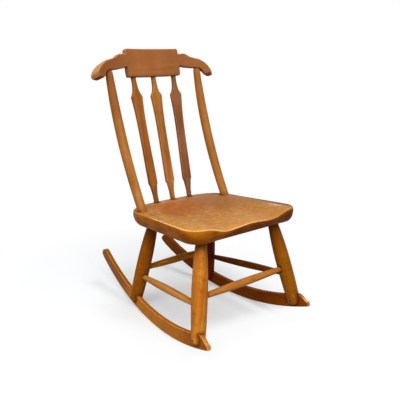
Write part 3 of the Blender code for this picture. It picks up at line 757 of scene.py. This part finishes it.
class Finish:
    """The nodes that paint a material or the room, and the colour reached so far."""

    def __init__(self, owner):
        owner.use_nodes = True
        self.owner = owner
        self.tree = owner.node_tree
        self.colour = None

    def add(self, kind, settings=None, sockets=None, output=0):
        """Any node: its type, settings, values or links of its sockets, and the output wanted."""
        node = self.tree.nodes.new(kind)
        for setting, value in (settings or {}).items():
            setattr(node, setting, value)
        self.feed(node, sockets or {})
        return Amount(self, node.outputs[output])

    def feed(self, node, sockets):
        for key, value in sockets.items():
            if isinstance(value, Amount):
                self.tree.links.new(value.socket, node.inputs[key])
            else:
                node.inputs[key].default_value = value

    def noise(self, place, scale, detail=2, roughness=0.5, output=0):
        return self.add(
            "ShaderNodeTexNoise", {},
            {"Vector": place, "Scale": scale, "Detail": detail, "Roughness": roughness}, output)

    def vector(self, kind, first, second=(0, 0, 0), third=(0, 0, 0), output=0):
        sockets = {0: first, 1: second, 2: third}
        return self.add("ShaderNodeVectorMath", {"operation": kind}, sockets, output)

    def between(self, value, low, high):
        """0 below low, 1 above high, eased between."""
        settings = {"interpolation_type": "SMOOTHSTEP"}
        sockets = {"Value": value, "From Min": low, "From Max": high}
        return self.add("ShaderNodeMapRange", settings, sockets)

    def until(self, value, low, high):
        """1 below low, 0 above high, eased between."""
        return 1 - self.between(value, low, high)

    def band(self, value, start, whole, fades, gone):
        """Grows to 1 from start to whole, and goes again from fades to gone."""
        return self.between(value, start, whole) * self.until(value, fades, gone)

    def blend(self, share, first, second):
        """From the first colour to the second."""
        return self.add("ShaderNodeMix", {"data_type": "RGBA"}, {0: share, 6: first, 7: second}, 2)

    def tint(self, share, other):
        """Bring the colour a share of the way to another."""
        self.colour = self.blend(share, self.colour, other)

    def axis(self, vector, letter):
        """One part of a place or a direction."""
        return self.add("ShaderNodeSeparateXYZ", {}, {0: vector}, letter)

    def normal(self):
        """Where the surface faces."""
        return self.add("ShaderNodeNewGeometry", {}, {}, "Normal")

    def mark(self, name):
        """An amount stored on the piece's points."""
        return self.add("ShaderNodeAttribute", {"attribute_name": name}, {}, "Fac")


GRAIN_STRETCH = 16         # how much longer than wide the grain's streaks are
WANDER = 0.010             # sideways wander of the grain
RINGS_PER_METRE = 120
HEART = (-0.06, 0.045, 0.05)  # heart of the trunk, from a piece's origin
OWN_PLACE = (1.7, 0.9, 2.3)  # way through the wood from one seed to the next
# Fineness of each kind of noise
WANDER_SCALE = 9
STREAK_SCALE = 420
FLECK_SCALE = 1100
BLOTCH_SCALE = 11
RUB_SCALE = 55
DENT_SCALE = 46
# Satin finish
SATIN = 0.48               # middle of the roughness
SHEEN = 0.06
BUMP_STRENGTH = 0.10
BUMP_HEIGHT = 0.001


def maple(name, deep, pale, grain, seed, marks=None, worn_edge=0.5, figure=0.7, grime=0.85):
    """Stained maple: dark and light of its stain, its long axis, its own seed and marks."""
    finish = Finish(bpy.data.materials.new(name))
    place = finish.add("ShaderNodeTexCoord", {}, {}, "Object")
    drawn = [1, 1, 1]
    drawn[grain] = 1 / GRAIN_STRETCH
    own = [seed * part for part in OWN_PLACE]
    fibre = finish.vector("MULTIPLY_ADD", place, drawn, own)
    wander = finish.noise(fibre, WANDER_SCALE, output="Color")
    fibre = finish.vector("MULTIPLY_ADD", wander, (WANDER, WANDER, WANDER), fibre)
    heart = [part - shift for part, shift in zip(HEART, own)]
    from_heart = finish.vector("LENGTH", finish.vector("ADD", fibre, heart), output="Value")
    rings = finish.add(
        "ShaderNodeTexNoise", {"noise_dimensions": "1D"},
        {"W": from_heart * RINGS_PER_METRE + seed, "Scale": 1, "Detail": 3, "Roughness": 0.6})
    streak = finish.noise(fibre, STREAK_SCALE, 4, 0.62)
    fleck = finish.between(finish.noise(fibre, FLECK_SCALE), 0.60, 0.74)
    shifted = finish.vector("ADD", place, own)
    blotch = finish.noise(shifted, BLOTCH_SCALE, 3, 0.55)
    rub = finish.noise(shifted, RUB_SCALE, 3, 0.6)
    tone = 0.5 + (rings + streak - 1) * figure + (blotch - 0.5) * 1.1 - fleck * 0.2
    finish.colour = finish.blend(tone, deep, pale)
    if marks:
        marks(finish, place, rub)
    # worn arrises, paler also as a painted highlight; small dents; dirt in the joints, darker also
    # as painted shade where parts meet
    bare = tuple(min(value * 1.3 + 0.02, 1) for value in pale)
    worn = finish.mark("arris") * finish.between(rub, 0.30, 0.62)
    finish.tint(worn * worn_edge, bare)
    sockets = {"Vector": shifted, "Scale": DENT_SCALE}
    dent = finish.add("ShaderNodeTexVoronoi", {}, sockets, "Distance")
    speck = finish.until(dent, 0.035, 0.075) * finish.between(rub, 0.50, 0.60)
    finish.tint(speck * 0.65, SPECK)
    # darker near other pieces: dirt in the joints and painted shade where parts meet
    dirt_and_shade = finish.mark("dirt_and_shade") * (0.5 + rub * 0.6)
    finish.tint(dirt_and_shade * grime, DIRT_AND_SHADE)
    roughness = SATIN + (streak - 0.5) * 0.15 + (blotch - 0.5) * 0.25 + dirt_and_shade * 0.2
    height = streak * 0.5 + rub * 0.6 - fleck * 0.3 - speck * 1.5
    sockets = {"Strength": BUMP_STRENGTH, "Distance": BUMP_HEIGHT, "Height": height}
    bump = finish.add("ShaderNodeBump", {}, sockets)
    finish.feed(finish.tree.nodes["Principled BSDF"], {
        "Base Color": finish.colour, "Roughness": roughness, "Normal": bump,
        "Specular IOR Level": SHEEN})
    return finish.owner


# Colours of the marks, as seen: stains, dirt and wear, and in some of them painted light or shade
DIRT_AND_SHADE = stain(44, 16, 2)
SPECK = stain(74, 34, 8)
SEAT_DARK = stain(120, 70, 24)
SEAT_PALE = stain(214, 152, 86)
SEAT_DISH = stain(142, 72, 34)
SEAT_FRONT = stain(204, 142, 72)
SEAT_RIGHT = stain(140, 97, 58)
SEAT_REAR = stain(136, 92, 56)
SEAT_EDGE_DARK = stain(110, 48, 1)
SEAT_EDGE_PALE = stain(158, 84, 6)
SEAT_EDGE_LIT_LEFT = stain(190, 110, 16)
SEAT_EDGE_SHADED_RIGHT = stain(88, 36, 1)
SEAT_RUBBED_AND_HIGHLIGHT = stain(240, 194, 130)
SEAT_GRIME = stain(84, 46, 18)
SEAT_PALE_STREAKS = stain(240, 214, 180)
CREST_LEFT = stain(112, 58, 30)
CREST_SHEEN_AND_END_GRAIN = stain(184, 142, 94)
POST_HEAD_SHADE = stain(116, 60, 20)
ROCKER_TAIL_AND_SHADE = stain(104, 54, 14)
ROCKER_FRONT = stain(168, 80, 24)
ROCKER_TOE = stain(146, 80, 22)
ROCKER_BARE = stain(234, 184, 122)
LEG_DARK = stain(112, 52, 8)
LEG_NECK_SHADE = stain(104, 48, 10)
LEG_RUBBED = stain(226, 168, 104)

# Outline of the seat's right: straight side and round back
BACK_RUN = SEAT_DEPTH / 2 - SEAT_BACK_START
RIM_SLANT = (SEAT_WIDTH - SEAT_REAR_WIDTH) / 2 / (SEAT_BACK_START + SEAT_DEPTH / 2 - SEAT_CORNER)
RIM_LINE = SEAT_REAR_WIDTH / 2 + RIM_SLANT * SEAT_BACK_START


def seat_marks(finish, place, rub):
    """Mottled top, redder in the dish and paler in front; dark edge, paler at the left as painted
    light and darker at the right as painted shade; front-left rim worn and with a painted
    highlight; grimy rim.
    """
    across = finish.axis(place, "X")
    back = finish.axis(place, "Y")
    finish.tint(finish.between(rub, 0.50, 0.66) * 0.45, SEAT_DARK)
    finish.tint(finish.until(rub, 0.36, 0.50) * 0.32, SEAT_PALE)
    dish = finish.band(back, -0.03, 0.09, 0.13, 0.19) * finish.until(across ** 2, 0.005, 0.027)
    finish.tint(dish * (0.45 + rub * 0.5), SEAT_DISH)
    finish.tint(finish.until(back, -0.19, -0.02) * 0.35, SEAT_FRONT)
    finish.tint(finish.between(across, 0.02, 0.13) * 0.35, SEAT_RIGHT)
    # edge, paler at the left as painted light, and darker and reaching further up at the right as
    # painted shade
    upward = finish.axis(finish.normal(), "Z")
    left = finish.until(across, -0.17, -0.06)
    side = finish.until(upward - (1 - left) * 0.32, 0.15, 0.55)
    patch = finish.noise(finish.vector("MULTIPLY", place, (14, 14, 40)), 1, 3, 0.6)
    mottle = finish.between(patch, 0.35, 0.68)
    edge = finish.blend(mottle, SEAT_EDGE_DARK, SEAT_EDGE_PALE)
    edge = finish.blend(left * (0.25 + mottle * 0.45), edge, SEAT_EDGE_LIT_LEFT)
    edge = finish.blend(0.55 - left * 0.55, edge, SEAT_EDGE_SHADED_RIGHT)
    finish.tint(side * 0.96, edge)
    # paler rim at the front left: wear, and a painted highlight along the arris
    rim = finish.band(upward, 0.40, 0.60, 0.90, 0.95)
    rubbed_and_highlit = rim * finish.until(across, 0.0, 0.12) * finish.until(back, -0.02, 0.06)
    finish.tint(rubbed_and_highlit * finish.between(rub, 0.30, 0.5) * 0.85, SEAT_RUBBED_AND_HIGHLIGHT)
    rear = finish.between(across + back * 0.8, 0.08, 0.18)
    finish.tint(rear * (1 - side) * 0.55, SEAT_REAR)
    # grime just inside the outline
    flank = finish.between(across + back * RIM_SLANT, RIM_LINE - 0.013, RIM_LINE - 0.008)
    round_back = (across * (2 / SEAT_REAR_WIDTH)) ** SEAT_BACK_SQUARENESS
    round_back = round_back + ((back - SEAT_BACK_START) * (1 / BACK_RUN)) ** SEAT_BACK_SQUARENESS
    grimy = flank + finish.between(round_back, 0.80, 0.87) * finish.between(across, 0.02, 0.06)
    finish.tint(grimy * (0.55 + rub * 0.5), SEAT_GRIME)
    # a small pale streaked patch near the right front of the top
    pale_patch = finish.band(across, 0.176, 0.182, 0.192, 0.199)
    pale_patch = pale_patch * finish.band(back, -0.168, -0.158, -0.112, -0.102)
    streaking = finish.noise(finish.vector("MULTIPLY", place, (300, 60, 0)), 1)
    finish.tint(pale_patch * finish.between(streaking, 0.5, 0.58) * 0.85, SEAT_PALE_STREAKS)


def crest_marks(finish, place, rub):
    """Darker on the left arm; faces turned up or out painted paler, a painted sheen with the ears'
    end grain.
    """
    left = finish.until(finish.axis(place, "X"), -0.19, -0.03)
    finish.tint(left * 0.35, CREST_LEFT)
    # faces turned up or out: painted sheen of the top light, and the ears' pale end grain
    normal = finish.normal()
    outward = finish.axis(finish.vector("ABSOLUTE", normal), "X")
    facing = finish.axis(normal, "Z") * 0.7 + outward * 0.7
    finish.tint(finish.between(facing, 0.45, 0.8) * 0.7, CREST_SHEEN_AND_END_GRAIN)


def post_head_shade(finish, place, rub):
    """Painted shade of the crest rail over the post's upper part, on the left post alone."""
    # painted shade under the crest rail
    head = finish.between(finish.axis(place, "Z"), 0.24, 0.42)
    finish.tint(head * 0.55, POST_HEAD_SHADE)


def rocker_marks(top, tail_shade_share, bare_share):
    """Marks of a rocker: even top, darker tail from dark end grain and painted shade, redder
    front, and a toe kicked bare.
    """
    def marks(finish, place, rub):
        reach = finish.axis(place, "X")
        upward = finish.axis(finish.normal(), "Z")
        finish.tint(finish.between(upward, 0.70, 0.90) * 0.75, top)
        # tail darker: dark end grain, and painted shade away from the lamps
        tail = finish.between(reach, REAR_FOOT_AT, REAR_FOOT_AT + 0.12)
        finish.tint(tail * tail_shade_share, ROCKER_TAIL_AND_SHADE)
        front = finish.until(reach, FRONT_FOOT_AT + 0.03, FRONT_FOOT_AT + 0.14)
        finish.tint(front * (1 - bare_share), ROCKER_FRONT)
        toe = finish.until(reach, -TOE_REACH + 0.004, -TOE_REACH + TOE_SLOPE)
        finish.tint(toe * (1 - bare_share), ROCKER_TOE)
        bare = toe * finish.between(upward, 0.25, 0.55) * finish.between(rub, 0.30, 0.50)
        finish.tint(bare * bare_share, ROCKER_BARE)
    return marks


def leg_marks(finish, place, rub):
    """Mottled stain, painted shade at a leg's neck under the seat, and rubbed patches low on it.
    """
    height = finish.axis(place, "Z")
    finish.tint(finish.between(rub, 0.50, 0.66) * 0.3, LEG_DARK)
    # painted shade of the seat on the leg's neck
    finish.tint(finish.between(height, 0.20, 0.31) * 0.55, LEG_NECK_SHADE)
    low = finish.until(height, 0.02, 0.12)
    finish.tint(low * finish.between(rub, 0.56, 0.66) * 0.2, LEG_RUBBED)


# Dark and light of each piece's stain, as seen: pieces on the right and under the seat are darker
# as painted shade, the front-left pieces and the rear stretcher lighter as painted light
STAINS = {
    "seat": ((138, 82, 22), (187, 131, 63)),
    "crest_rail": ((126, 73, 39), (168, 109, 63)),
    "post_left": ((138, 80, 25), (189, 127, 65)),
    "post_right": ((130, 75, 20), (178, 117, 56)),
    "arrow_left": ((121, 67, 21), (164, 101, 48)),
    "arrow_middle": ((129, 77, 22), (177, 115, 62)),
    "arrow_right": ((108, 66, 36), (150, 98, 62)),
    "leg_front_left": ((174, 96, 19), (227, 145, 56)),
    "leg_front_right": ((133, 72, 5), (182, 109, 20)),
    "leg_rear_left": ((130, 65, 5), (178, 102, 18)),
    "leg_rear_right": ((98, 35, 5), (146, 57, 14)),
    "stretcher_front": ((163, 95, 28), (223, 145, 69)),
    "stretcher_rear": ((186, 104, 18), (248, 158, 44)),
    "stretcher_left": ((176, 106, 34), (234, 161, 80)),
    "stretcher_right": ((97, 47, 7), (139, 74, 20)),
    "rocker_left": ((170, 93, 13), (236, 146, 42)),
    "rocker_right": ((111, 49, 3), (164, 86, 17))}
PEG_STAIN = ((122, 66, 12), (170, 100, 28))
ACROSS, UPRIGHT = 0, 2     # axis of the grain in a piece's own frame


def dress(piece, node, slot, grain, seed, **looks):
    """Give a piece its name, its finish and the solid that it stands for; the slot is not used."""
    piece.name = piece.data.name = node + "_wood"
    deep, pale = [stain(*colour) for colour in STAINS.get(node, PEG_STAIN)]
    piece.data.materials.clear()
    piece.data.materials.append(maple(node + "_maple", deep, pale, grain, seed, **looks))
    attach(piece, "root")
    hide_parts(node)
    pieces.append(piece)


pieces = []
dress(seat_wood(), "seat", "seat_maple", ACROSS, 1.0, marks=seat_marks, worn_edge=0.9, figure=0.6)
dress(
    crest_wood(), "crest_rail", "crest_maple", ACROSS, 2.0,
    marks=crest_marks, figure=0.35, grime=0.25)
for word, side in (("left", -1), ("middle", 0), ("right", 1)):
    node = "arrow_" + word
    dress(arrow_wood(side), node, "arrow_maple", UPRIGHT, 3.1 + side, worn_edge=0.8)
for word, side in (("left", -1), ("right", 1)):
    marks = post_head_shade if side < 0 else None
    dress(post_wood(side), "post_" + word, "post_maple", UPRIGHT, 5.3 + side, marks=marks)
    node = "rocker_" + word
    top = stain(*STAINS[node][0])
    marks = rocker_marks(top, tail_shade_share=0.30 - 0.25 * side, bare_share=0.70 + 0.28 * side)
    dress(
        rocker_wood(side), node, "rocker_maple", ACROSS, 8.2 + side,
        marks=marks, worn_edge=0.7)
    for end in ("front", "rear"):
        place = end + "_" + word
        seed = 11.4 + side * 1.3 + len(end)
        dress(
            leg_wood(end, side), "leg_" + place, "leg_maple", UPRIGHT, seed,
            marks=leg_marks, figure=0.9)
        dress(peg_wood(end, side), "peg_" + place, "peg_maple", UPRIGHT, seed + 0.4)

# Each stretcher's two sockets: a leg and a height on it
STRETCHERS = (
    ("front", ("front", -1, FRONT_STRETCHER_HEIGHT), ("front", 1, FRONT_STRETCHER_HEIGHT)),
    ("rear", ("rear", -1, REAR_STRETCHER_HEIGHT), ("rear", 1, REAR_STRETCHER_HEIGHT)),
    ("left", ("front", -1, SIDE_STRETCHER_FRONT_HEIGHT), ("rear", -1, SIDE_STRETCHER_REAR_HEIGHT)),
    ("right", ("front", 1, SIDE_STRETCHER_FRONT_HEIGHT), ("rear", 1, SIDE_STRETCHER_REAR_HEIGHT)))
for number, (word, start, end) in enumerate(STRETCHERS):
    wood = stretcher_wood(on_leg(*start), on_leg(*end))
    dress(wood, "stretcher_" + word, "stretcher_maple", UPRIGHT, 20.5 + number, figure=0.9)


# Wear and painted light: worn arrises, also a painted highlight, and dirt in the joints, also
# painted shade where parts meet, stored on the pieces' points
def store(mesh, name, amounts):
    layer = mesh.attributes.new(name, "FLOAT", "POINT")
    layer.data.foreach_set("value", np.asarray(amounts, np.float32))


def mark_arrises(mesh):
    """How sharply each point bulges, from 0 on flat or plain round wood to 1 on an arris."""
    points = np.array([v.co for v in mesh.vertices])
    normals = np.array([v.normal for v in mesh.vertices])
    edges = np.array([e.vertices for e in mesh.edges])
    apart = points[edges[:, 0]] - points[edges[:, 1]]
    squares = np.maximum((apart ** 2).sum(1), 1e-10)
    bulge = np.zeros(len(points))
    count = np.zeros(len(points))
    for k, way in ((0, 1), (1, -1)):
        np.add.at(bulge, edges[:, k], 2 * way * (normals[edges[:, k]] * apart).sum(1) / squares)
        np.add.at(count, edges[:, k], 1)
    low, high = ARRIS_CURVES
    share = np.clip((2 * bulge / np.maximum(count, 1) - low) / (high - low), 0, 1)
    store(mesh, "arris", share * share * (3 - 2 * share))


# the darkening near other pieces is dirt in the joints and painted shade
def mark_dirt_and_shade():
    """How near each point lies to the outside of another piece, the flush pegs apart."""
    shapes = []
    for piece in pieces:
        points = [piece.matrix_world @ v.co for v in piece.data.vertices]
        faces = [tuple(face.vertices) for face in piece.data.polygons]
        middles = np.array([piece.matrix_world @ face.center for face in piece.data.polygons])
        shapes.append((points, faces, middles, BVHTree.FromPolygons(points, faces)))
    sides = [shape for piece, shape in zip(pieces, shapes) if not piece.name.startswith("peg")]
    for piece, shape in zip(pieces, shapes):
        points, own_tree = shape[0], shape[3]
        corners = np.array(points)
        low = corners.min(0) - DIRT_REACH
        high = corners.max(0) + DIRT_REACH
        amounts = np.zeros(len(points))
        for other in sides:
            other_points, faces, middles = other[:3]
            close = np.flatnonzero(((middles > low) & (middles < high)).all(1))
            if other is shape or not len(close):
                continue
            showing = []
            for k in close:
                middle = Vector(middles[k])
                nearest, outward = own_tree.find_nearest(middle)[:2]
                if (middle - nearest).dot(outward) > 0:
                    showing.append(faces[k])
            joint = BVHTree.FromPolygons(other_points, showing)
            for i, point in enumerate(points):
                distance = joint.find_nearest(point, DIRT_REACH)[3]
                if distance is not None:
                    amounts[i] = max(amounts[i], smooth(1 - distance / DIRT_REACH))
        store(piece.data, "dirt_and_shade", amounts)


bpy.context.view_layer.update()
for piece in pieces:
    mark_arrises(piece.data)
mark_dirt_and_shade()


# Floor and room: white to the camera, pale to the wood
FLOOR_SIZE = 40
FLOOR_DROP = 0.0002
FLOOR_PALE = 0.22          # what the wood gets back from the floor
FLOOR_WHITE = (0.695, 0.72, 0.735)
FLOOR_LIFT = 0.33          # white of the floor that no shadow takes away
FLOOR_BLEACH = 0.85        # how far the shadow is bleached beyond its borders
SHADOW_REACH = (0.5, 0.95)  # from the chair's middle, where the shadow fades and is gone
# Borders of the shadow: a way across each, and where along it the shadow starts and is whole
SHADOW_BORDERS = (
    ((0.16, 1.0, 0), (-0.24, -0.13)),
    ((1.0, 0.40, 0), (-0.34, -0.19)),
    ((-1.0, 0.0, 0), (-0.45, -0.24)))
ROOM_LIGHT = 0.08


def seen(finish):
    """1 for what the camera sees, straight or in a reflection."""
    straight = finish.add("ShaderNodeLightPath", {}, {}, "Is Camera Ray")
    mirrored = finish.add("ShaderNodeLightPath", {}, {}, "Is Glossy Ray")
    through = finish.add("ShaderNodeLightPath", {}, {}, "Is Transmission Ray")
    settings = {"operation": "ADD", "use_clamp": True}
    return finish.add("ShaderNodeMath", settings, {0: straight + mirrored, 1: through})


def lay_floor():
    half = FLOOR_SIZE / 2
    mesh = bpy.data.meshes.new("floor")
    corners = [(-half, -half), (half, -half), (half, half), (-half, half)]
    mesh.from_pydata([(x, y, -FLOOR_DROP) for x, y in corners], [], [(0, 1, 2, 3)])
    floor = show("floor", mesh)
    paint = Finish(bpy.data.materials.new("floor_paint"))
    place = paint.add("ShaderNodeTexCoord", {}, {}, "Object")
    inside = 1
    for way, (start, whole) in SHADOW_BORDERS:
        along_way = paint.vector("DOT_PRODUCT", place, way, output="Value")
        inside = paint.between(along_way, start, whole) * inside
    away = paint.vector("LENGTH", place, output="Value")
    share = (1 - (1 - inside) * FLOOR_BLEACH) * paint.until(away, *SHADOW_REACH)
    pale = paint.add("ShaderNodeBsdfDiffuse", {}, {"Color": (*[FLOOR_PALE] * 3, 1)})
    matt = paint.add("ShaderNodeBsdfDiffuse", {}, {"Color": (*FLOOR_WHITE, 1)})
    lift = paint.add("ShaderNodeEmission", {}, {"Color": (1, 1, 1, 1), "Strength": FLOOR_LIFT})
    white = paint.add("ShaderNodeEmission", {}, {"Color": (1, 1, 1, 1), "Strength": 1})
    near = paint.add("ShaderNodeAddShader", {}, {0: matt, 1: lift})
    shown = paint.add("ShaderNodeMixShader", {}, {0: share, 1: white, 2: near})
    mixed = paint.add("ShaderNodeMixShader", {}, {0: seen(paint), 1: pale, 2: shown})
    paint.feed(paint.tree.nodes["Material Output"], {"Surface": mixed})
    mesh.materials.append(paint.owner)


def light_room():
    room = bpy.data.worlds.new("room")
    bpy.context.scene.world = room
    walls = Finish(room)
    strength = ROOM_LIGHT + (1 - ROOM_LIGHT) * seen(walls)
    walls.feed(room.node_tree.nodes["Background"], {"Color": (1, 1, 1, 1), "Strength": strength})


def hang_lamp(name, place, towards, size, power):
    """Round softbox at a place, facing what it is hung towards."""
    lamp = bpy.data.lights.new(name, "AREA")
    lamp.shape = "DISK"
    lamp.size = size
    lamp.energy = power
    back = Vector(place) * 2 - Vector(towards)
    show(name, lamp).matrix_world = frame_along(Vector(place), back)


# Place, aim, width and power of each lamp
LAMPS = {
    "front_softbox": ((-0.9, -2.5, 2.8), (0, 0, 0.45), 2.6, 76),
    "left_softbox": ((-2.3, -0.9, 2.5), (0, 0, 0.35), 2.2, 62),
    "top_softbox": ((0.8, -0.1, 2.7), (0, 0, 0.3), 1.5, 32)}

lay_floor()
light_room()
for name, lamp in LAMPS.items():
    hang_lamp(name, *lamp)

# Camera where the photograph was taken from
CAMERA_PLACE = (-1.1035, -1.3123 - FLAT_AHEAD, 0.9019)
CAMERA_HEADING = math.radians(39.94)
CAMERA_DIP = math.radians(15.96)
CAMERA_ROLL = math.radians(1.495)
CAMERA_LENS = 46.414
CAMERA_SHIFT = (0.0068, -0.0041)

camera_data = bpy.data.cameras.new("camera")
camera_data.sensor_width = 36
camera_data.lens = CAMERA_LENS
camera_data.shift_x, camera_data.shift_y = CAMERA_SHIFT
camera = show("camera", camera_data)
aim = Matrix.Rotation(-CAMERA_HEADING, 4, "Z") @ Matrix.Rotation(math.pi / 2 - CAMERA_DIP, 4, "X")
camera.matrix_world = Matrix.Translation(CAMERA_PLACE) @ aim @ Matrix.Rotation(CAMERA_ROLL, 4, "Z")
bpy.context.scene.camera = camera
bpy.context.scene.view_settings.view_transform = "Standard"
